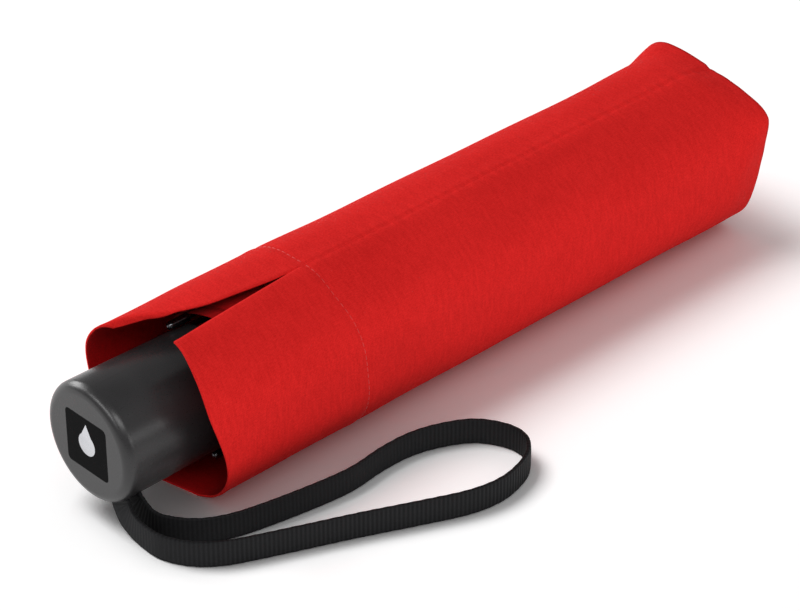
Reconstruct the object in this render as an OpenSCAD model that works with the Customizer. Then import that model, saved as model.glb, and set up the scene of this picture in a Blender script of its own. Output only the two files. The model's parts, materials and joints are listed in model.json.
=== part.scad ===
// Folding umbrella: a manual three-section mini umbrella with eight ribs, folded in its sleeve.
// Millimetres. +X runs from the handle to the sleeve's closed end, +Z is up. The origin is on the
// surface that the umbrella lies on, under the middle of its length.
// A place along the shaft is given as s, its distance from the handle's end face.

/* [Overall] */
// Length from the handle's end face to the sleeve's closed end
total_length = 240; // [240:1:244]
// Height of the shaft's axis above the surface
axis_z = 24.8; // [24.6:0.1:25.2]
// Sideways place of the shaft in the sleeve
shaft_y = 2; // [0:0.1:2]

/* [Sleeve] */
// Width of the sleeve across Y
sleeve_w = 52; // [52:0.5:56]
// Height of the sleeve
sleeve_h = 52.4; // [52:0.2:56]
// Corner radius of the sleeve's soft square section
sleeve_corner_r = 22.5; // [20:0.5:24]
// Thickness of the sleeve's cloth with its lining
sleeve_wall = 0.8; // [0.6:0.1:1]
// How much of the sleeve's round underside is pressed flat
underside_flat = 0.7; // [0.5:0.1:1]
// Place of the sleeve's mouth at its top
mouth_s = 21; // [18:1:24]
// How much further back the mouth's underside lies
mouth_slant = 8.5; // [0:0.5:10]
// Length of the slit that lets the sleeve's mouth open
slit_length = 46; // [35:1:50]
// Width of the slit at the mouth
slit_w = 19; // [12:1:22]
// Angle of the slit and of the long seam from the top
slit_angle = 13; // [10:1:20]

/* [Handle] */
// Radius of the grip near its end
grip_r = 17.7; // [17.5:0.1:17.8]
// Radius of the grip at its inner end
grip_inner_r = 17.3; // [17:0.1:17.4]
// Length of the grip
grip_length = 43; // [42:0.5:43]
// Radius of the round between the grip's side and its end face
grip_round = 3; // [2:0.25:4]
// Wall of the grip
grip_wall = 2.4; // [2:0.1:2.6]
// Side of the square plate in the grip's end face
badge_side = 17; // [14:0.5:17.5]

/* [Shaft] */
// Outer radius of the uppermost tube
upper_r = 6.2; // [6.2:0.05:6.3]
// Outer radius of the middle tube
middle_r = 5.2; // [5.1:0.05:5.2]
// Outer radius of the lowest tube
lower_r = 4.3; // [4.2:0.05:4.3]
// Wall of the tubes
tube_wall = 0.4; // [0.35:0.05:0.4]
// Radial play of the bushes in their tubes
slide_play = 0.1; // [0.08:0.01:0.12]

/* [Ribs] */
// Number of ribs
rib_count = 8; // [8:1:8]
// Width of a channel rib
rib_w = 2.4; // [2.2:0.1:2.4]
// Depth of a channel rib
rib_h = 2.2; // [2:0.1:2.3]
// Sheet thickness of a channel rib
rib_wall = 0.5; // [0.4:0.05:0.5]
// Radius of the pivot rivets
rivet_r = 0.6; // [0.5:0.05:0.7]
// Diameter of an outer rib's wire
wire_d = 1.6; // [1.4:0.1:1.6]

/* [Canopy] */
// Outer radius of the folded and wrapped canopy
canopy_r = 22; // [21.9:0.1:22.2]
// Thickness of the folded cloth around the ribs
canopy_wall = 1.6; // [1.4:0.1:1.7]

/* [Wrist strap] */
// Width of the webbing
strap_w = 8; // [7:0.5:8]
// Thickness of the webbing
strap_t = 1.4; // [1:0.1:1.6]

/* [Hidden] */
$fn = 96;
ribs = [1 : rib_count];

// Rings of tubes and bushes along the shaft
upper_s = [50, 234];
middle_s = [46, 208];
lower_s = [8, 206];
bush_length = 8;
collar_length = 5;
upper_bore = upper_r - tube_wall;
middle_bore = middle_r - tube_wall;

// Radii of the folded layers, from the shaft outwards
inner_rib_r = 8.7;
middle_rib_r = 12.7;
outer_rib_r = 19;
// Sideways place of the ribs and of the stretchers beside them
rib_side = -1.5;
stretcher_side = 1.5;

// Places of the pivots along the shaft and their radii
crown_hinge = [226, 9.8];
runner_hinge = [75, 9.8];
stretcher_pivot = [162, inner_rib_r + rib_h / 2];
fold_pivot = [82, middle_rib_r + rib_h / 2];
outer_pivot = [210, middle_rib_r + rib_h / 2];
lug_half = 0.6;
ring_wire_r = 0.5;
ring_groove_r = 0.55;
pivot_margin = 2;

// The slit's cut starts at this radius
slit_from_r = 18.5;

// Runner: barrel, foot for the thumb, and flange with the stretchers' slots
runner_s = [54, 78];
runner_bore = upper_r + 0.15;
barrel_r = 8.2;
foot_r = 10;
foot_length = 2;
flange_r = 11.5;
flange_length = 6;

// Catch: a leaf inside the tube, and its tooth in the tube's window
catch_s = 140;
catch_w = 1.6;
catch_t = 0.25;
catch_r = middle_r + 0.25;
catch_leaf = [-18, 4];
tooth_r = 8;
window_length = 10;
window_w = 2.4;

// Crown and cap
crown_s = [222, 229];
crown_r = 11;
cap_s = [231.6, 237.5];
cap_profile = [[0, 0], [9, 0], [9, 1.6], [8.2, 3.6], [6.4, 5.2], [4, 5.9], [0, 5.9]];
cap_pin_s = 232.8;
cap_pin_r = 0.8;
cap_pin_length = 17;
hinge_hole_r = 0.9;
hinge_drop = 0.15;
slot_play = 0.4;

// Outer ribs' wires, their tips, and the rods beside the middle ribs
wire_s = 41;
tip_s = [37, 43];
tip_r = 1.25;
rod_r = 0.55;
rod_s = [94, 160];
rod_end_r = 9.8;

// Folded canopy and the band around it
canopy_s = [43, 214, 231];
canopy_top_r = 12.5;
tie_s = [88, 106];
tie_wall = 0.6;
fastener_angle = 60;
fastener_r = 4.5;

// Inside of the grip
core_flange_r = grip_r - grip_wall - 0.4;
core_r = 7;
core_disc = 2.4;
end_plate = 3.2;
badge_depth = 1.2;
emblem_depth = 0.4;
emblem_r = 3.4;
core_pin_s = 24;
core_pin_r = 1;
anchor_r = [6.5, 13];
slot_s = [3.4, 9.2];
slot_w = strap_w + 2.4;
// The strap's slot looks down and a little towards -Y: its angle from the top
slot_angle = 155;

// Route of the wrist strap's middle line: s, y, z and how far the webbing leans from upright
strap_z = strap_w / 2 + 0.05;
strap_route = [
    [4.2, -3.5, 13, 65], [4.2, -5.5, 8.8, 65], [4, -7, 6.6, 60], [3.3, -9.8, 5.2, 42],
    [2.7, -13.2, 4.4, 18], [2.3, -17.5, strap_z, 0], [2.3, -22.5, strap_z, 0], [3.6, -27, strap_z, 0],
    [6.6, -32, strap_z, 0], [11, -36.2, strap_z, 0], [17, -39.8, strap_z, 0], [31.8, -46.5, strap_z, 0],
    [47, -53.2, strap_z, 0], [62, -60.3, strap_z, 0], [75.5, -66.2, strap_z, 0], [86, -68, strap_z, 0],
    [95.5, -66.2, strap_z, 0], [101.5, -62.8, strap_z, 0], [104.8, -57.6, strap_z, 0],
    [104.2, -51, strap_z, 0], [99.5, -43.6, strap_z, 0], [91, -38.6, strap_z, 0], [82, -36, strap_z, 0],
    [72, -35.6, strap_z, 0], [58.5, -36.6, strap_z, 0], [42.5, -34.6, strap_z, 0],
    [26, -31.2, strap_z, 0], [17.5, -27.8, strap_z, 0], [12.3, -23.6, strap_z, 0],
    [9, -18.6, strap_z, 0], [8, -14.2, 4.2, 14], [8.1, -10.4, 5.1, 40], [8.4, -7.2, 6.5, 60],
    [8.4, -5.5, 8.8, 65], [8.4, -3.5, 13, 65]
];
strap_steps = 2;

// Names of the nodes
function numbered(name) = [for (i = ribs) str(name, "_", i)];

// Puts its children on the shaft's axis: their +Z runs along the shaft and their +X points up
module on_axis(s = 0)
    translate([s - total_length / 2, shaft_y, axis_z]) rotate([0, 90, 0]) rotate([0, 0, 180]) children();

// The same about the sleeve's own middle line
module in_sleeve(s = 0)
    translate([s - total_length / 2, 0, sleeve_h / 2]) rotate([0, 90, 0]) rotate([0, 0, 180]) children();

// Puts its children in the plane of one rib: radius along X, sideways along Y, s along Z
module at_rib(i) on_axis() rotate([0, 0, (i - 0.5) * 360 / rib_count]) children();

// A hollow round between two places along the shaft
module ring(s0, s1, outer, inner)
    on_axis(s0) difference() {
        cylinder(r = outer, h = s1 - s0);
        translate([0, 0, -1]) cylinder(r = inner, h = s1 - s0 + 2);
    }

// A round pin or hole across the rib plane, at a pivot given as [s, radius]
module cross_pin(pivot, r, side, length)
    translate([pivot[1], side - length / 2, pivot[0]]) rotate([-90, 0, 0])
        cylinder(r = r, h = length, $fn = 24);

// A folded-sheet channel, open at the shaft's side. The web stops short of both ends.
module channel(r0, s0, s1, web_s0, web_s1, side) {
    for (y = [-rib_w / 2, rib_w / 2 - rib_wall])
        translate([r0, side + y, s0]) cube([rib_h, rib_wall, s1 - s0]);
    translate([r0 + rib_h - rib_wall, side - rib_w / 2, web_s0]) cube([rib_wall, rib_w, web_s1 - web_s0]);
}

// ---------------------------------------------------------------- sleeve

// The sleeve's section, seen along the shaft: a soft square that lies flat on the surface
module sleeve_section(inset) {
    corner = sleeve_corner_r - inset;
    across = sleeve_w / 2 - sleeve_corner_r;
    up = sleeve_h / 2 - sleeve_corner_r;
    down = up + underside_flat;
    intersection() {
        union() {
            translate([-down, -across - corner]) square([up + down, 2 * (across + corner)]);
            translate([-down - corner, -across]) square([up + down + 2 * corner, 2 * across]);
            for (x = [-down, up], y = [-across, across]) translate([x, y]) circle(r = corner);
        }
        translate([inset - sleeve_h / 2, -sleeve_w]) square([sleeve_h, 2 * sleeve_w]);
    }
}

// Everything on the handle's side of the slanted mouth, seen from the side
module mouth_cut() rotate([90, 0, 0]) linear_extrude(2 * sleeve_w, center = true) polygon([
    [-sleeve_h / 2, 0], [-sleeve_h / 2, mouth_s + mouth_slant], [sleeve_h / 2, mouth_s], [sleeve_h / 2, 0]
]);

module sleeve_body() color([0.78, 0.1, 0.1]) in_sleeve() difference() {
    translate([0, 0, mouth_s]) linear_extrude(total_length - mouth_s) sleeve_section(0);
    translate([0, 0, mouth_s - 1]) linear_extrude(total_length - mouth_s + 2) sleeve_section(sleeve_wall);
    mouth_cut();
    // The slit is cut along the seam on the near side and runs open towards the far side
    rotate([0, 0, slit_angle]) translate([slit_from_r, 0, 0]) rotate([90, 0, 90])
        linear_extrude(sleeve_corner_r)
        polygon([[0, mouth_s + slit_length], [0, mouth_s - 1], [-slit_w, mouth_s - 1]]);
}

module sleeve_end_panel() color([0.72, 0.09, 0.09])
    in_sleeve(total_length - sleeve_wall) linear_extrude(sleeve_wall) sleeve_section(sleeve_wall);

// ---------------------------------------------------------------- handle

module grip_profile() difference() {
    union() {
        polygon([
            [0, 0], [grip_r - grip_round, 0], [grip_r - grip_round, grip_round], [grip_r, grip_round],
            [grip_inner_r, grip_length - 1], [grip_inner_r - 1, grip_length], [0, grip_length]
        ]);
        translate([grip_r - grip_round, grip_round]) intersection() {
            circle(r = grip_round);
            translate([0, -grip_round]) square(grip_round);
        }
    }
    translate([-1, end_plate]) square([core_flange_r + 1, grip_length]);
}

module badge_plate(side, corner, height) linear_extrude(height) {
    square([side - 2 * corner, side], center = true);
    square([side, side - 2 * corner], center = true);
    for (x = [-1, 1], y = [-1, 1]) translate([x, y] * (side / 2 - corner)) circle(r = corner, $fn = 32);
}

// A raindrop, point upwards
module drop(r, height) linear_extrude(height) {
    circle(r = r, $fn = 48);
    polygon([[0.42 * r, -0.8 * r], [0.42 * r, 0.8 * r], [1.9 * r, 0]]);
}

module strap_slot() on_axis(slot_s[0]) rotate([0, 0, slot_angle])
    translate([anchor_r[0], -slot_w / 2, 0]) cube([grip_r, slot_w, slot_s[1] - slot_s[0]]);

module handle_shell() color([0.2, 0.2, 0.2]) difference() {
    on_axis() rotate_extrude() grip_profile();
    on_axis(-1) badge_plate(badge_side, 1.5, badge_depth + 1);
    strap_slot();
}

module handle_core() color([0.3, 0.3, 0.3]) difference() {
    union() {
        ring(end_plate, end_plate + core_disc, core_flange_r, 1);
        ring(end_plate, grip_length, core_r, 1);
        ring(grip_length - core_disc, grip_length, core_flange_r, 1);
    }
    on_axis(lower_s[0]) cylinder(r = lower_r, h = 50);
    on_axis() cross_pin([core_pin_s, 0], core_pin_r, 0, 40);
    strap_slot();
}

module core_pin() color("silver") on_axis() cross_pin([core_pin_s, 0], core_pin_r, 0, 2 * core_r);

module end_badge() color([0.02, 0.02, 0.02]) difference() {
    on_axis() badge_plate(badge_side, 1.5, badge_depth);
    on_axis(-1) drop(emblem_r, emblem_depth + 1);
}

module badge_emblem() color("silver") on_axis() drop(emblem_r, emblem_depth);

// The bar that the strap's sewn ends hang from
module strap_anchor() color([0.3, 0.3, 0.3]) on_axis(slot_s[0]) rotate([0, 0, slot_angle])
    translate([anchor_r[0], -strap_w / 2 - 1, 0])
        cube([anchor_r[1] - anchor_r[0], strap_w + 2, slot_s[1] - slot_s[0]]);

// ---------------------------------------------------------------- wrist strap

// A point between b and c on the smooth curve through a, b, c and d
function smooth(a, b, c, d, t) =
    b + t * ((c - a) / 2 + t * (a - 2.5 * b + 2 * c - d / 2 + t * (1.5 * (b - c) + (d - a) / 2)));
function route_point(i) = strap_route[max(0, min(len(strap_route) - 1, i))];
strap_line = [
    for (i = [0 : len(strap_route) - 2], k = [0 : strap_steps - 1])
        smooth(route_point(i - 1), route_point(i), route_point(i + 1), route_point(i + 2), k / strap_steps),
    route_point(len(strap_route) - 1)
];
function place(p) = [p[0] - total_length / 2, p[1], p[2]];
function unit(v) = v / norm(v);
function strap_way(i) =
    unit(place(strap_line[min(i + 1, len(strap_line) - 1)]) - place(strap_line[max(i - 1, 0)]));
// The webbing's width direction: upright, or leaning towards -Y, and square to the route
function strap_across(i) =
    let (lean = strap_line[i][3], hint = [0, -sin(lean), cos(lean)], way = strap_way(i))
    unit(hint - (hint * way) * way);
// Eight corners of the webbing's flat section, with its edges rounded
strap_section = [
    for (c = [[1, 0.5], [0.9, 1], [-0.9, 1], [-1, 0.5], [-1, -0.5], [-0.9, -1], [0.9, -1], [1, -0.5]])
        [c[0] * strap_w / 2, c[1] * strap_t / 2]
];

module wrist_strap() color([0.12, 0.12, 0.12]) {
    rings = len(strap_line);
    sides = len(strap_section);
    points = [
        for (i = [0 : rings - 1], c = strap_section)
            place(strap_line[i]) + c[0] * strap_across(i) + c[1] * cross(strap_way(i), strap_across(i))
    ];
    walls = [
        for (i = [0 : rings - 2], j = [0 : sides - 1])
            let (a = i * sides, b = a + sides, k = (j + 1) % sides) each
            [[a + j, a + k, b + k], [a + j, b + k, b + j]]
    ];
    first = [for (j = [sides - 1 : -1 : 0]) j];
    last = [for (j = [0 : sides - 1]) (rings - 1) * sides + j];
    polyhedron(points, concat(walls, [first, last]));
}

// ---------------------------------------------------------------- shaft

module lower_tube() color([0.75, 0.75, 0.77]) difference() {
    ring(lower_s[0], lower_s[1], lower_r, lower_r - tube_wall);
    on_axis() cross_pin([core_pin_s, 0], core_pin_r, 0, 40);
}

module lower_bush() color([0.1, 0.1, 0.1])
    ring(lower_s[1] - bush_length, lower_s[1], middle_bore - slide_play, lower_r);

module middle_tube() color([0.75, 0.75, 0.77]) ring(middle_s[0], middle_s[1], middle_r, middle_bore);

// A notch along the bush lets it pass the runner's catch
module middle_bush() color([0.1, 0.1, 0.1]) difference() {
    ring(middle_s[1] - bush_length, middle_s[1], upper_bore - slide_play, middle_r);
    on_axis(middle_s[1] - bush_length - 1) translate([middle_r - 1, -catch_w / 2 - 0.4, 0])
        cube([3, catch_w + 0.8, bush_length + 2]);
}

module middle_collar() color([0.1, 0.1, 0.1]) {
    ring(middle_s[0] - 2, middle_s[0], middle_r + 0.5, lower_r + slide_play);
    ring(middle_s[0], middle_s[0] + 1.6, middle_r + 0.5, middle_r);
}

module upper_tube() color([0.75, 0.75, 0.77]) difference() {
    ring(upper_s[0], upper_s[1], upper_r, upper_bore);
    // Window of the runner's catch
    on_axis(catch_s - window_length / 2) translate([4, -window_w / 2, 0]) cube([4, window_w, window_length]);
    on_axis() cross_pin([cap_pin_s, 0], cap_pin_r, 0, 40);
}

module upper_collar() color([0.1, 0.1, 0.1]) {
    ring(upper_s[0] - 2, upper_s[0], upper_r + 0.6, middle_r + slide_play);
    ring(upper_s[0], upper_s[0] + collar_length - 2, upper_r + 0.6, upper_r);
}

// ---------------------------------------------------------------- crown, runner and cap

// Radial slots for the ribs' or stretchers' ends, one beside each rib
module end_slots(s0, length, side, from_r)
    for (i = ribs) at_rib(i) translate([from_r, side - (rib_w + slot_play) / 2, s0 - 1])
        cube([20, rib_w + slot_play, length + 2]);

module ring_wire(hinge, r)
    on_axis(hinge[0]) rotate_extrude() translate([hinge[1], 0]) circle(r = r, $fn = 24);

module crown() color([0.1, 0.1, 0.1]) difference() {
    ring(crown_s[0], crown_s[1], crown_r, upper_r);
    end_slots(crown_s[0], crown_s[1] - crown_s[0], rib_side, inner_rib_r - 0.4);
    ring_wire(crown_hinge, ring_groove_r);
}

module crown_wire() color("silver") ring_wire(crown_hinge, ring_wire_r);

module runner() color([0.1, 0.1, 0.1]) difference() {
    union() {
        ring(runner_s[0], runner_s[1], barrel_r, runner_bore);
        ring(runner_s[1] - flange_length, runner_s[1], flange_r, runner_bore);
        ring(runner_s[0], runner_s[0] + foot_length, foot_r, runner_bore);
    }
    end_slots(runner_s[1] - flange_length, flange_length, stretcher_side, inner_rib_r - 0.4);
    ring_wire(runner_hinge, ring_groove_r);
}

module runner_wire() color("silver") ring_wire(runner_hinge, ring_wire_r);

// A leaf along the inside of the tube, with a sloping tooth that stands out of the window
module runner_catch() color("silver") on_axis(catch_s) {
    translate([catch_r, -catch_w / 2, catch_leaf[0]]) cube([catch_t, catch_w, catch_leaf[1] - catch_leaf[0]]);
    rotate([90, 0, 0]) translate([0, 0, 0.2 - catch_w / 2]) linear_extrude(catch_w - 0.4)
        polygon([[catch_r, -4], [catch_r + catch_t, -4], [tooth_r, 3], [tooth_r, 4], [catch_r, 4]]);
}

module ferrule_cap() color([0.1, 0.1, 0.1]) difference() {
    on_axis(cap_s[0]) rotate_extrude() polygon(cap_profile);
    on_axis(cap_s[0] - 1) cylinder(r = upper_r, h = upper_s[1] - cap_s[0] + 1);
    on_axis() cross_pin([cap_pin_s, 0], cap_pin_r, 0, 40);
}

module cap_rivet() color("silver") on_axis() cross_pin([cap_pin_s, 0], cap_pin_r, 0, cap_pin_length);

module rosette() color([0.6, 0.08, 0.08]) ring(canopy_s[2], cap_s[0], canopy_top_r - 0.5, upper_r + 0.1);

// ---------------------------------------------------------------- ribs

module inner_rib(i) color([0.16, 0.16, 0.17]) at_rib(i) difference() {
    union() {
        channel(inner_rib_r, fold_pivot[0] + 2.5, crown_hinge[0] + 2.2,
            fold_pivot[0] - 1, crown_s[0], rib_side);
        // Lug that reaches out into the middle rib
        translate([inner_rib_r + rib_h - rib_wall, rib_side - lug_half, fold_pivot[0] - pivot_margin])
            cube([fold_pivot[1] - inner_rib_r - rib_h + rib_wall + 0.9, 2 * lug_half, 2 * pivot_margin]);
    }
    cross_pin(fold_pivot, rivet_r, 0, 20);
    cross_pin(stretcher_pivot, rivet_r, 0, 20);
    cross_pin([crown_hinge[0], crown_hinge[1] - hinge_drop], hinge_hole_r, 0, 20);
}

module stretcher(i) color([0.16, 0.16, 0.17]) at_rib(i) difference() {
    channel(inner_rib_r, runner_hinge[0] - pivot_margin, stretcher_pivot[0] + pivot_margin,
        runner_hinge[0] + 5, stretcher_pivot[0] - 4, stretcher_side);
    cross_pin(stretcher_pivot, rivet_r, 0, 20);
    cross_pin([runner_hinge[0], runner_hinge[1] - hinge_drop], hinge_hole_r, 0, 20);
}

module middle_rib(i) color([0.16, 0.16, 0.17]) at_rib(i) difference() {
    channel(middle_rib_r, fold_pivot[0] - pivot_margin, outer_pivot[0] + pivot_margin,
        fold_pivot[0] + 6, outer_pivot[0] - 6, rib_side);
    cross_pin(fold_pivot, rivet_r, 0, 20);
    cross_pin(outer_pivot, rivet_r, 0, 20);
}

module outer_ribs() color([0.75, 0.75, 0.77]) for (i = ribs) at_rib(i) difference() {
    union() {
        translate([outer_rib_r, rib_side, wire_s])
            cylinder(d = wire_d, h = outer_pivot[0] - wire_s, $fn = 24);
        translate([outer_pivot[1] - 1.5, rib_side - lug_half, outer_pivot[0] - 1.5])
            cube([outer_rib_r - outer_pivot[1] + 1.5, 2 * lug_half, 3]);
    }
    cross_pin(outer_pivot, rivet_r, 0, 20);
}

module rib_tip() difference() {
    union() {
        cylinder(r = tip_r, h = tip_s[1] - tip_s[0], $fn = 32);
        sphere(r = tip_r, $fn = 32);
    }
    translate([0, 0, wire_s - tip_s[0]]) cylinder(d = wire_d, h = 5, $fn = 24);
}

module rib_tips() color("silver")
    for (i = ribs) at_rib(i) translate([outer_rib_r, rib_side, tip_s[0]]) rib_tip();

module rib_rivets() color("silver") for (i = ribs) at_rib(i) {
    cross_pin(fold_pivot, rivet_r, rib_side, rib_w);
    cross_pin(outer_pivot, rivet_r, rib_side, rib_w);
    cross_pin(stretcher_pivot, rivet_r, 0, 2 * stretcher_side + rib_w);
}

// Rods that fold and unfold the middle ribs with the stretchers
module link_rods() color([0.75, 0.75, 0.77]) for (i = ribs) at_rib(i) {
    translate([fold_pivot[1], stretcher_side, rod_s[0]])
        cylinder(r = rod_r, h = rod_s[1] - rod_s[0], $fn = 24);
    translate([rod_end_r, stretcher_side, rod_s[1] - rod_r]) rotate([0, 90, 0])
        cylinder(r = rod_r, h = fold_pivot[1] - rod_end_r, $fn = 24);
    cross_pin([rod_s[0] + 0.5, fold_pivot[1]], 0.5, (stretcher_side + rib_side + rib_w / 2) / 2,
        stretcher_side - rib_side - rib_w / 2);
}

// ---------------------------------------------------------------- canopy

module canopy() color([0.75, 0.1, 0.1]) on_axis() rotate_extrude() polygon([
    [canopy_r, canopy_s[0]], [canopy_r, canopy_s[1]], [canopy_top_r, canopy_s[2]],
    [upper_r + 0.1, canopy_s[2]], [upper_r + 0.1, canopy_s[2] - 1.2], [canopy_top_r - 1.4, canopy_s[2] - 1.2],
    [canopy_r - canopy_wall, canopy_s[1]], [canopy_r - canopy_wall, canopy_s[0]]
]);

module fastener_place() on_axis((tie_s[0] + tie_s[1]) / 2) rotate([0, 0, fastener_angle])
    translate([canopy_r + 0.1, 0, 0]) rotate([0, 90, 0]) children();

module tie_strap() color([0.7, 0.09, 0.09]) difference() {
    ring(tie_s[0], tie_s[1], canopy_r + tie_wall, canopy_r);
    fastener_place() translate([0, 0, -2]) cylinder(r = fastener_r, h = 5, $fn = 48);
}

module tie_fastener() color([0.15, 0.15, 0.15]) fastener_place() {
    cylinder(r = fastener_r, h = 1.4, $fn = 48);
    translate([0, 0, 1.4]) cylinder(r = fastener_r - 1, h = 0.5, $fn = 48);
}

// ---------------------------------------------------------------- nodes

sleeve_body();
sleeve_end_panel();
handle_shell();
handle_core();
core_pin();
end_badge();
badge_emblem();
strap_anchor();
wrist_strap();
lower_tube();
lower_bush();
middle_tube();
middle_bush();
middle_collar();
upper_tube();
upper_collar();
crown();
crown_wire();
runner();
runner_wire();
runner_catch();
ferrule_cap();
cap_rivet();
rosette();
for (i = ribs) {
    inner_rib(i);
    stretcher(i);
    middle_rib(i);
}
outer_ribs();
rib_tips();
rib_rivets();
link_rods();
canopy();
tie_strap();
tie_fastener();
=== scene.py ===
"""Looks of the folding umbrella in its sleeve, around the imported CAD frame.

Lengths are in metres. A place along the shaft is given as s, in millimetres from the grip's end face.
"""

import json
import math

import bpy
import numpy as np
from mathutils import Matrix, Vector


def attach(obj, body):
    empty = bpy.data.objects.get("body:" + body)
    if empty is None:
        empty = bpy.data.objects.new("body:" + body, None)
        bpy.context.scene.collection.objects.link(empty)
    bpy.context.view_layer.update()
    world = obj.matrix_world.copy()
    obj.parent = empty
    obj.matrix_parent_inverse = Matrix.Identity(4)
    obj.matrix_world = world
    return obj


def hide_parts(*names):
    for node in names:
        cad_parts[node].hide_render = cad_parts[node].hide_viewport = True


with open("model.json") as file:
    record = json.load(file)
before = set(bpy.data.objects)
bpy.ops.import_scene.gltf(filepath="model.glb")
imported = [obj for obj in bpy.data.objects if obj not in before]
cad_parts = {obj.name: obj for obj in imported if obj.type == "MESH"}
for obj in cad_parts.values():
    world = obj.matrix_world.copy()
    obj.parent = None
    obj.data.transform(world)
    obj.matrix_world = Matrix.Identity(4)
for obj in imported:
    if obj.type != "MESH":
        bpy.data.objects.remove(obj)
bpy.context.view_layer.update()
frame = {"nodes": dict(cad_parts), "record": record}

MM = 0.001
TOTAL = 240.0  # the grip's end face to the sleeve's closed end
AXIS = (2.0, 24.8)  # the shaft's y and z
MIDDLE_Z = 26.2  # the sleeve's own middle
RIBS = 8


def metres(points):
    """Points given as (s, y, z) in millimetres, in the frame's own metres."""
    p = np.array(points, float)
    p[..., 0] -= TOTAL / 2
    return p * MM


def ease(x, low, high):
    t = np.clip((np.asarray(x, float) - low) / (high - low), 0, 1)
    return t * t * (3 - 2 * t)


# ---------------------------------------------------------------- camera


def make_camera():
    a, e, distance = math.radians(-43.59), math.radians(33.09), 0.861
    back = Vector((math.sin(a) * math.cos(e), -math.cos(a) * math.cos(e), math.sin(e)))
    right = Vector((math.cos(a), math.sin(a), 0))
    up = back.cross(right)
    data = bpy.data.cameras.new("camera")
    data.lens, data.sensor_width, data.clip_start, data.clip_end = 135.1, 36, 0.01, 50
    camera = bpy.data.objects.new("camera", data)
    place = Vector((-0.0075, 0, 0.01922)) + back * distance
    turn = Matrix((right, up, back)).transposed().to_4x4()
    camera.matrix_world = Matrix.Translation(place) @ turn
    bpy.context.scene.collection.objects.link(camera)
    bpy.context.scene.camera = camera


make_camera()

# ---------------------------------------------------------------- materials


class Nodes:
    """A Principled material under construction."""

    def __init__(self, name, colour, roughness, metallic=0.0, **sockets):
        self.material = bpy.data.materials.new(name)
        self.material.use_nodes = True
        self.tree = self.material.node_tree
        self.shader = self.tree.nodes["Principled BSDF"]
        self.set(self.shader, {"Base Color": (*colour, 1), "Roughness": roughness, "Metallic": metallic})
        self.set(self.shader, {k.replace("_", " "): v for k, v in sockets.items()})

    def set(self, node, values):
        for k, v in values.items():
            if isinstance(v, bpy.types.NodeSocket):
                self.tree.links.new(v, node.inputs[k])
            else:
                node.inputs[k].default_value = v

    def node(self, kind, inputs=(), out=0, **props):
        n = self.tree.nodes.new("ShaderNode" + kind)
        for k, v in props.items():
            setattr(n, k, v)
        self.set(n, dict(inputs))
        return n.outputs[out]

    def place(self, scale=1.0, stretch=(1, 1, 1), uv=None):
        """Coordinates in units of scale millimetres: the object's own, or those of the UV map named uv."""
        source = self.node("UVMap", uv_map=uv) if uv else self.node("TexCoord", out="Object")
        factor = (1 if uv else 1 / MM) / scale
        return self.node("Mapping", {"Vector": source, "Scale": tuple(factor * x for x in stretch)})

    def noise(self, size, detail=3.0, stretch=(1, 1, 1), uv=None):
        """Noise whose blobs are about size millimetres."""
        where = self.place(size, stretch, uv)
        return self.node("TexNoise", {"Vector": where, "Scale": 1.0, "Detail": detail}, out="Fac")

    def math(self, operation, a, b=0.0):
        return self.node("Math", {0: a, 1: b}, operation=operation)

    def between(self, value, low, high, to_low=0.0, to_high=1.0):
        return self.node(
            "MapRange",
            {"Value": value, "From Min": low, "From Max": high, "To Min": to_low, "To Max": to_high},
        )

    def mix(self, factor, a, b):
        n = self.tree.nodes.new("ShaderNodeMix")
        n.data_type = "RGBA"
        self.set(n, {0: factor})
        for slot, colour in ((6, a), (7, b)):
            if isinstance(colour, bpy.types.NodeSocket):
                self.tree.links.new(colour, n.inputs[slot])
            else:
                n.inputs[slot].default_value = (*colour, 1)
        return n.outputs[2]

    def stripes(self, pitch, axis):
        """One set of threads, from 0 to 1, across axis 0 or 1 of the piece's own UV map."""
        across = self.node("SeparateXYZ", {"Vector": self.place(pitch, uv="Cloth")}, out=axis)
        turn = self.math("MULTIPLY", across, 2 * math.pi)
        return self.between(self.math("SINE", turn), -1, 1)

    def bump(self, height, distance, under=None):
        """A bump whose full height is distance millimetres."""
        inputs = {"Height": height, "Distance": distance * MM, "Strength": 1.0}
        if under is not None:
            inputs["Normal"] = under
        return self.node("Bump", inputs)

    def finish(self, **sockets):
        self.set(self.shader, {k.replace("_", " "): v for k, v in sockets.items()})
        return self.material


def linear(r, g, b):
    """An 8-bit screen colour as linear light."""
    return tuple(((c / 255 + 0.055) / 1.055) ** 2.4 if c > 10 else c / 255 / 12.92 for c in (r, g, b))


RED = linear(236, 42, 40)
RED_DARK = linear(202, 28, 27)
NOISE_SPAN = 0.3, 0.7  # nearly all of a noise's values lie between these


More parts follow.
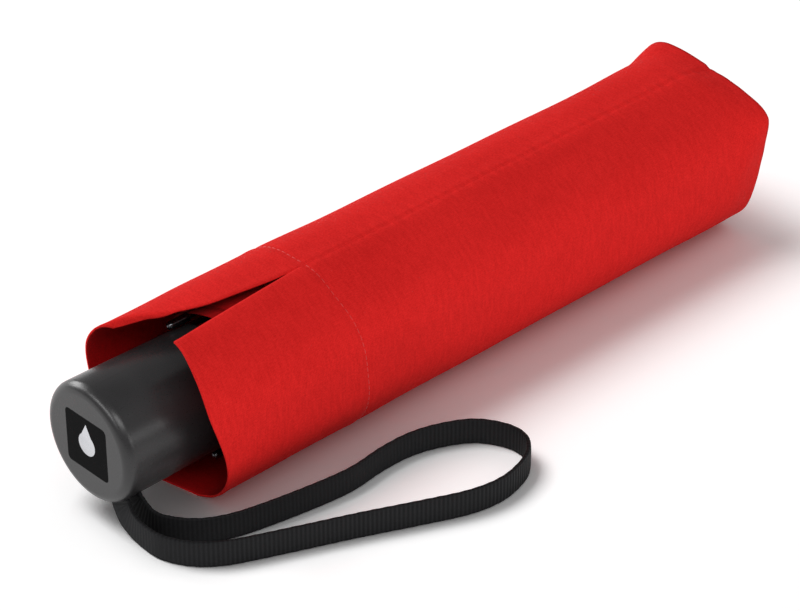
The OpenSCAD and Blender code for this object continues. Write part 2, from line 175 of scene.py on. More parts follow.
def cloth_material(name, light, dark, pitch, grain, height, roughness=0.78, sheen=0.02):
    """Plain-woven cloth: threads both ways in the piece's own UV map, which is in millimetres."""
    m = Nodes(name, light, roughness)
    wrap, weft = (m.stripes(pitch, k) for k in (0, 1))
    weave = m.math("MULTIPLY", wrap, weft)
    slub = m.noise(pitch * 2.2, 2.0, (1, 0.25, 1), uv="Cloth")
    blotch = m.noise(38.0, 2.0)
    speck = m.noise(pitch * 1.1, 1.0, uv="Cloth")
    tone = m.math("ADD", m.between(weave, 0, 1, 0, 0.22), m.between(slub, *NOISE_SPAN, 0, 0.28))
    tone = m.math("ADD", tone, m.between(blotch, *NOISE_SPAN, 0, 0.2))
    tone = m.math("ADD", tone, m.between(speck, *NOISE_SPAN, 0, 0.34))
    colour = m.mix(m.between(tone, 0.1, 0.95), light, dark)
    rough = m.between(speck, *NOISE_SPAN, roughness - 0.06, roughness + 0.08)
    thread = m.bump(weave, height)
    normal = m.bump(m.noise(grain, 3.0, uv="Cloth"), height * 1.4, under=thread)
    return m.finish(
        Base_Color=colour, Roughness=rough, Normal=normal, Sheen_Weight=sheen, Sheen_Roughness=0.5,
        Sheen_Tint=(1.0, 0.2, 0.18, 1), Specular_IOR_Level=0.04,
    )


def plastic(name, shade, roughness, grain, height, **more):
    m = Nodes(name, shade, roughness, **more)
    fine = m.noise(grain, 4.0)
    broad = m.noise(14.0, 2.0)
    darker = tuple(c * 0.72 for c in shade)
    return m.finish(
        Base_Color=m.mix(m.between(broad, *NOISE_SPAN), shade, darker),
        Roughness=m.between(fine, *NOISE_SPAN, roughness - 0.05, roughness + 0.07),
        Normal=m.bump(fine, height),
    )


def metal(name, shade, roughness, stretch, height=0.01):
    m = Nodes(name, shade, roughness, 1.0)
    lines = m.noise(0.35, 3.0, stretch)
    stain = m.noise(9.0, 3.0)
    darker = tuple(c * 0.8 for c in shade)
    return m.finish(
        Base_Color=m.mix(m.between(stain, 0.35, 0.7), shade, darker),
        Roughness=m.between(lines, *NOISE_SPAN, roughness - 0.06, roughness + 0.1),
        Normal=m.bump(lines, height),
    )


MATERIALS = {
    "sleeve_cloth": cloth_material("sleeve_cloth", RED, RED_DARK, 0.56, 0.9, 0.06),
    # The lining is a darker copy of the sleeve's red. It is partly the lining's own colour and partly painted
    # shade for the dim inside of the sleeve.
    "sleeve_lining": cloth_material("sleeve_lining", linear(168, 12, 14), linear(128, 7, 9), 0.5, 1.5, 0.03),
    "canopy_cloth": cloth_material(
        "canopy_cloth", linear(206, 20, 24), linear(168, 12, 16), 0.42, 1.2, 0.03, roughness=0.62, sheen=0.2,
    ),
    "soft_grip": plastic("soft_grip", linear(38, 37, 38), 0.31, 0.35, 0.012, Specular_IOR_Level=0.5),
    "black_plastic": plastic("black_plastic", linear(36, 36, 37), 0.38, 0.5, 0.01),
    "badge_black": plastic("badge_black", linear(5, 5, 6), 0.3, 2.5, 0.002, IOR=1.08),
    "emblem_silver": metal("emblem_silver", linear(205, 206, 210), 0.22, (1, 1, 1), 0.003),
    "shaft_metal": metal("shaft_metal", linear(206, 208, 212), 0.24, (0.04, 1, 1), 0.004),
    "steel": metal("steel", linear(190, 192, 196), 0.25, (0.1, 1, 1), 0.004),
    "rib_steel": plastic("rib_steel", linear(40, 40, 43), 0.35, 0.8, 0.008),
    "tip_chrome": metal("tip_chrome", linear(110, 110, 114), 0.2, (1, 1, 1), 0.001),
}


STRAP_RIB = 1.25  # pitch of the webbing's cross ribs


def webbing_material():
    """Black woven webbing; its cross ribs are in the mesh, and the threads along it here, with painted shade in
    stripes between the ribs.
    """
    m = Nodes("webbing", linear(38, 38, 39), 0.7)
    # Colour stripes at the rib pitch: painted shade in the grooves between the ribs, laid over the threads' own
    # pattern.
    rib_groove_shade, across = m.stripes(STRAP_RIB, 0), m.stripes(0.42, 1)
    weave = m.math("MULTIPLY", rib_groove_shade, m.between(across, 0, 1, 0.55, 1))
    fuzz = m.noise(0.5, 3.0, uv="Cloth")
    tone = m.math("ADD", m.between(weave, 0, 1, 0, 0.6), m.between(fuzz, *NOISE_SPAN, 0, 0.4))
    return m.finish(
        # The dark end of this mix is partly painted shade in the rib grooves.
        Base_Color=m.mix(tone, linear(6, 6, 7), linear(38, 38, 40)),
        Roughness=m.between(fuzz, *NOISE_SPAN, 0.62, 0.8),
        Normal=m.bump(tone, 0.05), Sheen_Weight=0.02, Sheen_Roughness=0.45, Specular_IOR_Level=0.2,
    )


MATERIALS["webbing"] = webbing_material()


def thread_material(name, light, dark):
    m = Nodes(name, light, 0.6)
    twist = m.noise(0.25, 2.0)
    return m.finish(
        Base_Color=m.mix(m.between(twist, *NOISE_SPAN), light, dark),
        Roughness=m.between(twist, *NOISE_SPAN, 0.5, 0.7), Normal=m.bump(twist, 0.03), Sheen_Weight=0.2,
    )


MATERIALS["red_thread"] = thread_material("red_thread", linear(230, 52, 48), linear(206, 34, 32))

# ---------------------------------------------------------------- meshes


def mesh_object(name, points, faces, materials, uvs=None, smooth=True):
    """points in metres; uvs one pair in millimetres per point."""
    mesh = bpy.data.meshes.new(name)
    mesh.from_pydata([tuple(p) for p in points], [], [tuple(int(i) for i in f) for f in faces])
    if uvs is not None:
        layer = mesh.uv_layers.new(name="Cloth")
        corner = np.zeros(len(mesh.loops), np.int32)
        mesh.loops.foreach_get("vertex_index", corner)
        layer.data.foreach_set("uv", np.array(uvs, np.float32)[corner].ravel())
    for m in materials:
        mesh.materials.append(MATERIALS[m])
    mesh.polygons.foreach_set("use_smooth", [smooth] * len(mesh.polygons))
    mesh.update()
    o = bpy.data.objects.new(name, mesh)
    bpy.context.scene.collection.objects.link(o)
    return o


def grid_faces(rows, columns, closed=False):
    """Quads of a grid of points, row by row; closed joins the last column to the first."""
    faces = []
    for i in range(rows - 1):
        for j in range(columns if closed else columns - 1):
            k = (j + 1) % columns
            faces.append((i * columns + j, i * columns + k, (i + 1) * columns + k, (i + 1) * columns + j))
    return faces


def catmull(points, steps, closed=False):
    """A smooth curve through the points."""
    p = np.array(points, float)
    n, out = len(p), []
    at = (lambda i: p[i % n]) if closed else (lambda i: p[max(0, min(n - 1, i))])
    for i in range(n if closed else n - 1):
        a, b, c, d = at(i - 1), at(i), at(i + 1), at(i + 2)
        for k in range(steps):
            t = k / steps
            cubic = 1.5 * (b - c) + (d - a) / 2
            out.append(b + t * ((c - a) / 2 + t * (a - 2.5 * b + 2 * c - d / 2 + t * cubic)))
    if not closed:
        out.append(p[-1])
    return np.array(out)


def along(line):
    """How far along a line each of its points is."""
    return np.concatenate([[0], np.cumsum(np.linalg.norm(np.diff(line[:, :3], axis=0), axis=1))])


def resample(line, count):
    """The line as that many points, evenly spaced."""
    d = along(line)
    t = np.linspace(0, d[-1], count)
    return np.stack([np.interp(t, d, line[:, k]) for k in range(line.shape[1])], axis=1)


def unit(v):
    return v / np.maximum(np.linalg.norm(v, axis=-1, keepdims=True), 1e-12)


def thicken(o, thickness, offset, inner=0):
    """Gives a sheet its thickness in millimetres, its inner face in the material inner slots on."""
    solid = o.modifiers.new("thickness", "SOLIDIFY")
    solid.thickness, solid.offset, solid.material_offset = thickness * MM, offset, inner


STITCH_PITCH, STITCH_LONG, STITCH_THICK, STITCH_SIDES = 2.1, 1.7, 0.3, 6
# One stitch from end to end: place along it, width and how far it stands out, as shares
STITCH_PROFILE = [
    (-0.5, 0.25, -0.5), (-0.36, 0.85, 0.1), (-0.12, 1.0, 0.35), (0.12, 1.0, 0.35), (0.36, 0.85, 0.1),
    (0.5, 0.25, -0.5),
]
STITCH_RISE = 0.4  # the profile's last column, over the thickness


def stitches(name, line, outward, body):
    """A row of machine stitches: short crowned threads along a line in millimetres, half sunk in the cloth."""
    line, outward = np.array(line, float), np.array(outward, float)
    d = along(line)
    points, faces = [], []
    for n in range(int(d[-1] / STITCH_PITCH)):
        middle = (n + 0.5) * STITCH_PITCH
        p, q, up = (np.array([np.interp(x, d, a[:, k]) for k in range(3)])
                    for x, a in ((middle - 0.4, line), (middle + 0.4, line), (middle, outward)))
        way, centre = unit(q - p), (p + q) / 2
        side = unit(np.cross(way, up))
        start = len(points)
        for t, width, rise in STITCH_PROFILE:
            for k in range(STITCH_SIDES):
                a = k * math.pi * 2 / STITCH_SIDES
                height = math.sin(a) * width * STITCH_THICK / 2 + rise * STITCH_THICK * STITCH_RISE
                points.append(centre + way * t * STITCH_LONG + side * math.cos(a) * width * STITCH_THICK / 2
                              + up * height)
        rings = len(STITCH_PROFILE)
        faces += [tuple(start + i for i in f) for f in grid_faces(rings, STITCH_SIDES, closed=True)]
        faces.append(tuple(start + k for k in range(STITCH_SIDES - 1, -1, -1)))
        faces.append(tuple(start + (rings - 1) * STITCH_SIDES + k for k in range(STITCH_SIDES)))
    o = mesh_object(name, metres(points), faces, ["red_thread"])
    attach(o, body)
    return o


# ---------------------------------------------------------------- wrist strap

STRAP_W, STRAP_T = 8.0, 1.4
STRAP_Z = 0.00405  # its middle line's height where it stands on its edge
# The same route as in part.scad: x, y, z in metres, and how far the webbing leans from upright in degrees
STRAP_ROUTE = [
    (-0.1158, -0.0035, 0.013, 65), (-0.1158, -0.0055, 0.0088, 65), (-0.116, -0.007, 0.0066, 60),
    (-0.1167, -0.0098, 0.0052, 42), (-0.1173, -0.0132, 0.0044, 18), (-0.1177, -0.0175, STRAP_Z, 0),
    (-0.1177, -0.0225, STRAP_Z, 0), (-0.1164, -0.027, STRAP_Z, 0), (-0.1134, -0.032, STRAP_Z, 0),
    (-0.109, -0.0362, STRAP_Z, 0), (-0.103, -0.0398, STRAP_Z, 0), (-0.0882, -0.0465, STRAP_Z, 0),
    (-0.073, -0.0532, STRAP_Z, 0), (-0.058, -0.0603, STRAP_Z, 0), (-0.0445, -0.0662, STRAP_Z, 0),
    (-0.034, -0.068, STRAP_Z, 0), (-0.0245, -0.0662, STRAP_Z, 0), (-0.0185, -0.0628, STRAP_Z, 0),
    (-0.0152, -0.0576, STRAP_Z, 0), (-0.0158, -0.051, STRAP_Z, 0), (-0.0205, -0.0436, STRAP_Z, 0),
    (-0.029, -0.0386, STRAP_Z, 0), (-0.038, -0.036, STRAP_Z, 0), (-0.048, -0.0356, STRAP_Z, 0),
    (-0.0615, -0.0366, STRAP_Z, 0), (-0.0775, -0.0346, STRAP_Z, 0), (-0.094, -0.0312, STRAP_Z, 0),
    (-0.1025, -0.0278, STRAP_Z, 0), (-0.1077, -0.0236, STRAP_Z, 0), (-0.111, -0.0186, STRAP_Z, 0),
    (-0.112, -0.0142, 0.0042, 14), (-0.1119, -0.0104, 0.0051, 40), (-0.1116, -0.0072, 0.0065, 60),
    (-0.1116, -0.0055, 0.0088, 65), (-0.1116, -0.0035, 0.013, 65),
]


# Half the webbing's section, from its middle to its rolled edge: place over its half width, and its thickness
STRAP_SECTION = [
    (0.0, 1.0), (0.35, 1.0), (0.66, 1.0), (0.80, 0.93), (0.86, 0.78), (0.93, 0.86), (0.985, 0.6), (1.0, 0.2),
]
RIB_DEPTH, EDGE_RIB_DEPTH = 0.26, 0.07  # how deep the cross ribs are cut, as a share of the thickness
BACK_UV = 20  # keeps the back's threads apart from the front's in the UV map


def make_strap():
    """Cross-ribbed webbing swept along its route, with a rolled selvedge on both edges."""
    line = catmull(STRAP_ROUTE, 24)
    long = along(line)[-1]
    line = resample(line, int(round(long / (STRAP_RIB * MM / 4))) + 1)
    points = line[:, :3]
    lean = np.radians(line[:, 3])
    way = unit(np.gradient(points, axis=0))
    hint = np.stack([0 * lean, -np.sin(lean), np.cos(lean)], axis=1)
    across = unit(hint - (hint * way).sum(1, keepdims=True) * way)
    out = np.cross(way, across)
    half_w, half_t = STRAP_W / 2 * MM, STRAP_T / 2 * MM
    profile = STRAP_SECTION + [(w, -t) for w, t in STRAP_SECTION[::-1]]
    profile += [(-w, -t) for w, t in STRAP_SECTION[1:]] + [(-w, t) for w, t in STRAP_SECTION[:0:-1]]
    at = along(line) / MM
    ribs = 0.5 - 0.5 * np.cos(2 * math.pi * at / STRAP_RIB)
    fade = ease(at, 0, 1.5) * ease(long / MM - at, 0, 1.5)
    rings, uvs = [], []
    for w, t in profile:
        depth = RIB_DEPTH * (1 - ease(abs(w), 0.8, 0.9)) + EDGE_RIB_DEPTH * ease(abs(w), 0.88, 0.95)
        thick = t * (1 - depth * ribs * fade)
        sway = 1.0 - 0.012 * np.sin(at * 1.7) * (abs(w) > 0.9)
        rings.append(points + across * (w * half_w * sway)[:, None] + out * (thick * half_t)[:, None])
        uvs.append(np.stack([at, np.full(len(at), w * STRAP_W / 2 + (0 if t > 0 else BACK_UV))], axis=1))
    rings, uvs = np.stack(rings, axis=1), np.stack(uvs, axis=1)
    rows, columns = rings.shape[:2]
    faces = grid_faces(rows, columns, closed=True)
    faces += [tuple(range(columns - 1, -1, -1)), tuple((rows - 1) * columns + j for j in range(columns))]
    strap = mesh_object("wrist_strap_webbing", rings.reshape(-1, 3), faces, ["webbing"], uvs.reshape(-1, 2))
    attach(strap, "handle")
    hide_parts("wrist_strap")


make_strap()

# ---------------------------------------------------------------- sleeve

SLEEVE_HALF_W, SLEEVE_TOP, SLEEVE_CORNER = 26.0, 52.4, 22.5
SLEEVE_UNDER = 0.7  # how much of the round underside is pressed flat
MOUTH_TOP, MOUTH_BOTTOM = 21.0, 28.2  # s at the mouth's top and bottom
MOUTH_FAR = 0.22  # how much further out the mouth is for each millimetre towards the far side
HEM_TOP, HEM_BOTTOM = 73.0, 78.5  # s at the hem's stitching
SLIT_APEX = 71.6
SEAM_S, SEAM_Y = (20, 67.6, TOTAL), (-8.3, -4.2, -3.0)  # the path of the long seam and the slit's near edge
END_FLARE = 227.0  # where the section turns into the closed end's
SLEEVE_COLUMNS, HEM_ROWS, BODY_ROWS = 220, 64, 150
SECTION_POINTS = 360


def body_section():
    """The sleeve's section as (y, z), from the top's middle towards -Y: a soft square pressed flat below."""
    across = SLEEVE_HALF_W - SLEEVE_CORNER
    up = SLEEVE_TOP / 2 - SLEEVE_CORNER
    down = -up - SLEEVE_UNDER
    points = [(0.0, SLEEVE_TOP)]
    for cy, cz, start in ((-across, up, 90), (-across, down, 180), (across, down, 270), (across, up, 0)):
        for a in np.radians(np.linspace(start, start + 90, 40)):
            y, z = cy + SLEEVE_CORNER * math.cos(a), cz + SLEEVE_CORNER * math.sin(a)
            points.append((y, max(0.0, z + MIDDLE_Z)))
    return np.array(points + [(0.0, SLEEVE_TOP)])


# The closed end's section, in the same turn: two dog-eared corners above and a rounded underside
END_SECTION = [
    (-3.2, 49.7), (-10, 49.2), (-17, 47.6), (-23.6, 45.4), (-27.0, 43), (-27.7, 40.2), (-27.0, 34),
    (-25.8, 26), (-24.0, 17), (-21.6, 9.4), (-17.5, 4.2), (-12.5, 3.4), (-6, 0.5), (3, 0.3), (12, 2.2),
    (19, 7.5), (23.5, 15), (25.2, 24), (25.2, 33), (24.8, 40), (23.2, 45.5), (19.9, 49.7), (16, 51.6),
    (11, 52.0), (5, 51.6), (-1, 50.6),
]


def seam_y(s):
    """Where the long seam and the slit's near edge run across the top."""
    return np.interp(s, SEAM_S, SEAM_Y)


def turned(section, start_y, count):
    """count + 1 points evenly round a closed section, from the point on its top at start_y towards -Y."""
    d = along(section)
    top = section[:, 1] > MIDDLE_Z
    n = len(section)
    best = min((i for i in range(n) if top[i]), key=lambda i: abs(section[i, 0] - start_y))
    i, j = (best, best + 1) if section[best, 0] > start_y else (best - 1, best)
    i, j = max(i, 0), min(j, n - 1)
    step = section[i, 0] - section[j, 0]
    share = (section[i, 0] - start_y) / step if step else 0
    first = d[i] + share * (d[j] - d[i])
    t = (first + np.linspace(0, d[-1], count + 1)) % d[-1]
    return np.stack([np.interp(t, d, section[:, k]) for k in range(2)], axis=1)


BODY = body_section()
END = catmull(END_SECTION, 8, closed=True)
END = np.vstack([END, END[:1]])
GIRTH = along(BODY)[-1]


SECTIONS = {}  # the sections already worked out, by s


def sleeve_surface(s, u):
    """The sleeve's outer surface at s, a share u of the way round from the seam towards -Y."""
    s = float(s)
    flare = float(0.1 * ease(s, 196, 228) + 0.9 * ease(s, END_FLARE, TOTAL + 1))
    key = round(s, 3)
    if key not in SECTIONS:
        start = float(seam_y(s))
        ring = turned(BODY, start, SECTION_POINTS)
        if flare > 0:
            ring = ring * (1 - flare) + turned(END, start, SECTION_POINTS) * flare
        SECTIONS[key] = ring
    ring = SECTIONS[key]
    at = (u % 1.0 if u != 1.0 else 1.0) * SECTION_POINTS
    i = min(int(at), SECTION_POINTS - 1)
    y, z = ring[i] + (at - i) * (ring[i + 1] - ring[i])
    return np.array([s, y, z])


SHOULDER_GIRTH = 13.0  # where the long hollow beside the seam runs
EAR_GIRTH = 36.0  # where the corner under the end's seam pushes out


def soft_folds(s, u):
    """How far the cloth stands in from its full section, in millimetres: long soft hollows, the one beside the
    seam and a few puckers, less the corner that pushes out at the closed end."""
    a = 2 * math.pi * u
    body = ease(s, 72, 100) * (1 - ease(s, 205, 232))
    hollow = 0.35 * body * (0.5 + 0.5 * math.sin(3 * a + 0.018 * s + 0.6))
    hollow += 0.25 * body * (0.5 + 0.5 * math.sin(5 * a - 0.03 * s + 2.1))
    ripple = 0.12 * math.sin(0.09 * s + 4 * a) * math.sin(0.043 * s + 2 * a + 1)
    pucker = 0.07 * ease(s, 228, 238) * (0.5 + 0.5 * math.sin(22 * a + 0.8 * math.sin(3 * a)))
    shoulder = 1.5 * ease(s, 30, 60) * (1 - ease(s, 215, 236))
    shoulder = shoulder * math.exp(-(((u * GIRTH - SHOULDER_GIRTH) / 7.5) ** 2))
    ear = 1.1 * math.exp(-(((s - 231.5) / 5.5) ** 2) - (((u * GIRTH - EAR_GIRTH) / 6.5) ** 2))
    return max(0.0, hollow + ripple + pucker + shoulder) - ear


# The line that the far flap's edge is turned under along, as s and the girth in from the seam, from the slit's
# apex round into the mouth
FOLD = [
    (SLIT_APEX, 0.0), (70.4, 0.5), (66, 1.2), (62, 1.8), (58.3, 2.55), (52, 4.0), (46.5, 5.6), (42.5, 7.3),
    (39.3, 9.3), (34.7, 12.8), (30.3, 17.4), (27.4, 22.0), (24.4, 25.6), (21.6, 28.8), (19.0, 32.5), (17.2, 36),
    (15.6, 40), (13.6, 45), (11.5, 50),
]
FOLD_LINE = resample(catmull(FOLD, 8), 240)
FOLD_GIRTH = 55.0  # no fold reaches further in than this
ROLL_R = 0.9  # radius of the turned edge
FLAP_REACH = 60.0  # the girth over which the far flap's threads spread
FLAP_ROUNDS = 5
PLAIN_S = 60  # a place where the section is the plain body's
CLOTH_T = 0.6  # thickness of the sleeve's cloth with its lining


def mouth_and_hem(y, z, girth_in):
    """s at the mouth and at the hem's stitching, for a point of the section. Both slant. The mouth also stands
    out on the far side and by the near flap, and draws back at the slit's near corner."""
    low = 1 - z / SLEEVE_TOP
    round_near = GIRTH - girth_in
    far = MOUTH_FAR * min(max(0.0, y + 14), 22) * float(ease(round_near, 35, 60) * ease(girth_in, 18, 40))
    near = 2.2 * math.exp(-(((round_near - 24) / 11) ** 2)) - 2.0 * math.exp(-((round_near / 8) ** 2))
    return (
        MOUTH_TOP + (MOUTH_BOTTOM - MOUTH_TOP) * low - far - near,
        HEM_TOP + (HEM_BOTTOM - HEM_TOP) * low,
    )


def fold_girth(s):
    return float(np.interp(s, FOLD_LINE[::-1, 0], FOLD_LINE[::-1, 1])) if s < SLIT_APEX else 0.0


def flap_edge(s):
    """Where the far flap's cut edge is: a little past the fold."""
    turned_under = 0.9 + 3.6 * (1 - float(ease(s, 27, 36)))
    return max(0.0, fold_girth(s) - turned_under)


def sleeve_point(s, girth_in):
    """A point of the sleeve's outer face, with its folds and the far flap's turned edge. girth_in runs from
    the seam over the far side."""
    u = 1 - girth_in / GIRTH
    if s < SLIT_APEX and girth_in < min(FOLD_GIRTH, fold_girth(s)):
        flat = np.array([s, girth_in])
        away = np.linalg.norm(FOLD_LINE - flat, axis=1)
        k = int(away.argmin())
        fs, fg = FOLD_LINE[k]
        far = float(away[k])
        fu = 1 - fg / GIRTH
        base = droop(sleeve_surface(fs, fu), fs, fu)
        ds = sleeve_surface(fs + 0.5, fu) - sleeve_surface(fs - 0.5, fu)
        dg = sleeve_surface(fs, 1 - (fg + 0.5) / GIRTH) - sleeve_surface(fs, 1 - (fg - 0.5) / GIRTH)
        inward = unit(np.array([0.0, AXIS[0] - base[1], AXIS[1] - base[2]]))
        way = unit(ds * (s - fs) + dg * (girth_in - fg)) if far > 1e-6 else np.zeros(3)
        most = math.radians(np.interp(fs, [20, 28, 34, 60], [92, 100, 140, 165]))
        turn = min(far / ROLL_R, most)
        rest = far - ROLL_R * turn
        out = ROLL_R * math.sin(turn) + rest * math.cos(turn)
        down = ROLL_R * (1 - math.cos(turn)) + rest * math.sin(turn)
        return base + way * out + inward * down
    return droop(sleeve_surface(s, u), s, u)


def droop(p, s, u):
    """Lowers the far flap towards the mouth, and takes off the soft folds, the stitched groove and the seam,
    less the mouth's raised rim."""
    girth_in, round_near = (1 - u) * GIRTH, u * GIRTH
    sag = 3.4 * (1 - float(ease(s, 22, 52))) * (1 - float(ease(girth_in, 8, 36)))
    inward = unit(np.array([0.0, AXIS[0] - p[1], AXIS[1] - p[2]]))
    mouth, hem = mouth_and_hem(p[1], p[2], girth_in)
    groove = 0.26 * math.exp(-(((s - hem) / 0.8) ** 2)) - 0.14 * math.exp(-(((s - hem + 2.6) / 1.8) ** 2))
    rim = 0.18 * math.exp(-(((s - mouth - 0.8) / 0.8) ** 2))
    off = min(girth_in, round_near)
    seam = 0.18 * math.exp(-((off / 0.6) ** 2)) - 0.08 * math.exp(-(((off - 1.6) / 0.9) ** 2))
    seam += 0.2 * math.sin(2 * math.pi * s / 4.3 + 2 * math.sin(0.21 * s)) * math.exp(-((off / 2.6) ** 2))
    seam *= float(ease(s, 71, 75))
    return p + inward * (soft_folds(s, u) + groove + seam - rim) - np.array([0, 0, sag])


def make_sleeve():
    """The sleeve's cloth and its grid of points, in millimetres."""
    columns = SLEEVE_COLUMNS + 1
    rows = HEM_ROWS + BODY_ROWS
    points, uvs = np.zeros((rows, columns, 3)), np.zeros((rows, columns, 2))
    apex = int(round((SLIT_APEX - MOUTH_TOP) / (HEM_TOP - MOUTH_TOP) * HEM_ROWS))
    ahead = np.linspace(0, 1, HEM_ROWS, endpoint=False)
    behind = np.linspace(0, 1, BODY_ROWS)
    for j, u in enumerate(np.linspace(0, 1, columns)):
        plain = (1 - u) * GIRTH
        for i in range(rows):
            on_flap = i < apex and plain < FLAP_REACH
            g = plain
            # On the flap s and the girth depend on each other, and a few rounds settle both
            for _ in range(FLAP_ROUNDS if on_flap else 1):
                mouth, hem = mouth_and_hem(*sleeve_surface(PLAIN_S, 1 - g / GIRTH)[1:], g)
                if i < HEM_ROWS:
                    s = mouth + (hem - mouth) * ahead[i]
                else:
                    s = hem + (TOTAL - hem) * behind[i - HEM_ROWS]
                if on_flap:
                    edge = flap_edge(s)
                    g = edge + plain * (FLAP_REACH - edge) / FLAP_REACH
            points[i, j] = sleeve_point(s, g)
            uvs[i, j] = (s, g)
    # The slit is open up to its apex; past that its two edges are one seam
    faces = grid_faces(rows, columns)
    welded = [
        tuple(i // columns * columns if i % columns == columns - 1 and i // columns >= apex else i for i in f)
        for f in faces
    ]
    flat_points, flat_uvs = points.reshape(-1, 3), uvs.reshape(-1, 2)
    used = sorted({i for f in welded for i in f})
    index = {old: new for new, old in enumerate(used)}
    # UVs go by corner where the seam is welded, so the weave doesn't run backwards there
    cloth = mesh_object(
        "sleeve_cloth_body", metres(flat_points[used]), [[index[i] for i in f] for f in welded],
        ["sleeve_cloth", "sleeve_lining"],
    )
    layer = cloth.data.uv_layers.new(name="Cloth")
    layer.data.foreach_set("uv", np.array([flat_uvs[i] for f in faces for i in f], np.float32).ravel())
    # The inner face takes the lining, whose darker red is partly painted shade for the inside of the sleeve.
    thicken(cloth, CLOTH_T, -1.0, inner=1)
    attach(cloth, "sleeve")
    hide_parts("sleeve_body")
    return cloth, points


def make_end_panel(rim):
    """The sewn-in panel that closes the sleeve: slightly crowned, puckered at its seam."""
    rings, puckers = 26, 22
    rim = rim[:-1]
    centre = rim.mean(0)
    columns = len(rim)
    points, uvs = [], []
    for k in range(rings):
        t = 1 - k / rings
        crown = 1.4 * (1 - t * t) - 0.9 * math.exp(-(((1 - t) / 0.035) ** 2))
        for j in range(columns):
            p = centre + (rim[j] - centre) * t
            pucker = 0.22 * math.sin(puckers * 2 * math.pi * j / columns) * math.exp(-(((1 - t) / 0.12) ** 2))
            points.append((p[0] + crown + pucker + 0.4, p[1], p[2]))
            uvs.append((p[1], p[2]))
    points.append((centre[0] + 1.8, centre[1], centre[2]))
    uvs.append((centre[1], centre[2]))
    faces = grid_faces(rings, columns, closed=True)
    last = (rings - 1) * columns
    faces += [(last + j, last + (j + 1) % columns, rings * columns) for j in range(columns)]
    panel = mesh_object("sleeve_cloth_end", metres(points), faces, ["sleeve_cloth", "sleeve_lining"], uvs)
    # The inner face takes the lining, whose darker red is partly painted shade for the inside of the sleeve.
    thicken(panel, CLOTH_T, -1.0, inner=1)
    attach(panel, "sleeve")
    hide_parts("sleeve_end_panel")
    return panel


def outward_of(points):
    """The way out of the sleeve at each point."""
    p = np.array(points, float)
    n = np.stack([0 * p[:, 0], p[:, 1] - AXIS[0], p[:, 2] - MIDDLE_Z], axis=1)
    return unit(n)


sleeve, sleeve_points = make_sleeve()
end_panel = make_end_panel(sleeve_points[-1])
hem_line = sleeve_points[HEM_ROWS]
hem_stitches = stitches("sleeve_hem_stitches", hem_line, outward_of(hem_line), "sleeve")
end_middle = sleeve_points[-1, :-1].mean(0)
end_line = end_middle + (sleeve_points[-1] - end_middle) * 0.93 + np.array([0.75, 0, 0])
end_outward = end_line * 0 + [1.0, 0, 0]
end_stitches = stitches("sleeve_end_stitches", end_line, end_outward, "sleeve")

# ---------------------------------------------------------------- folded canopy, its band and its rosette

CANOPY_S = (43.0, 214.0, 231.0)  # the hem, where it starts to gather, and the crown
CANOPY_R, GATHERED_R = 21.95, 12.4
CANOPY_ROWS, GIRTH_ROW = 110, 40  # GIRTH_ROW is where the way round is measured
PLEAT_HEM = 6.5  # how much further in the hem is at a pleat's fold
WRAP_R = 2.0  # from a pleat's root to its fold
PLEAT_TURN, PLEAT_STEP = 100.0, 360.0 / RIBS  # how far round each pleat is wrapped, and where the next begins
TIE_S, TIE_TURN = (88.0, 106.0), 60.0  # the band, and its fastener's angle from the top
TIE_LAP = 14  # how far its ends run past the fastener, in degrees


def on_shaft(s, radius, degrees):
    """A point at that radius, at an angle from the top towards -Y."""
    a = np.radians(degrees)
    return np.stack([s + 0 * a, AXIS[0] - radius * np.sin(a), AXIS[1] + radius * np.cos(a)], axis=-1)


def pleat_profile():
    """Once round the wrapped canopy as (turn in degrees, lift in millimetres, share of the way to the fold):
    one sheet that runs out to each pleat's fold and back under it."""
    points = []
    for n in range(RIBS):
        start = (n + 0.5) * PLEAT_STEP
        for a in np.linspace(0, PLEAT_TURN, 15):
            points.append((start + a, WRAP_R * a / PLEAT_TURN, a / PLEAT_TURN))
        points.append((start + PLEAT_TURN + 1.0, 1.82, 1.0))
        for a in np.linspace(PLEAT_TURN, PLEAT_STEP, 9)[1:-1]:
            points.append((start + a, WRAP_R * a / PLEAT_TURN - 0.5, a / PLEAT_TURN))
        points.append((start + PLEAT_STEP - 1.2, 0.22, 0.2))
    return np.array(points + [(points[0][0] + 360, points[0][1], points[0][2])])


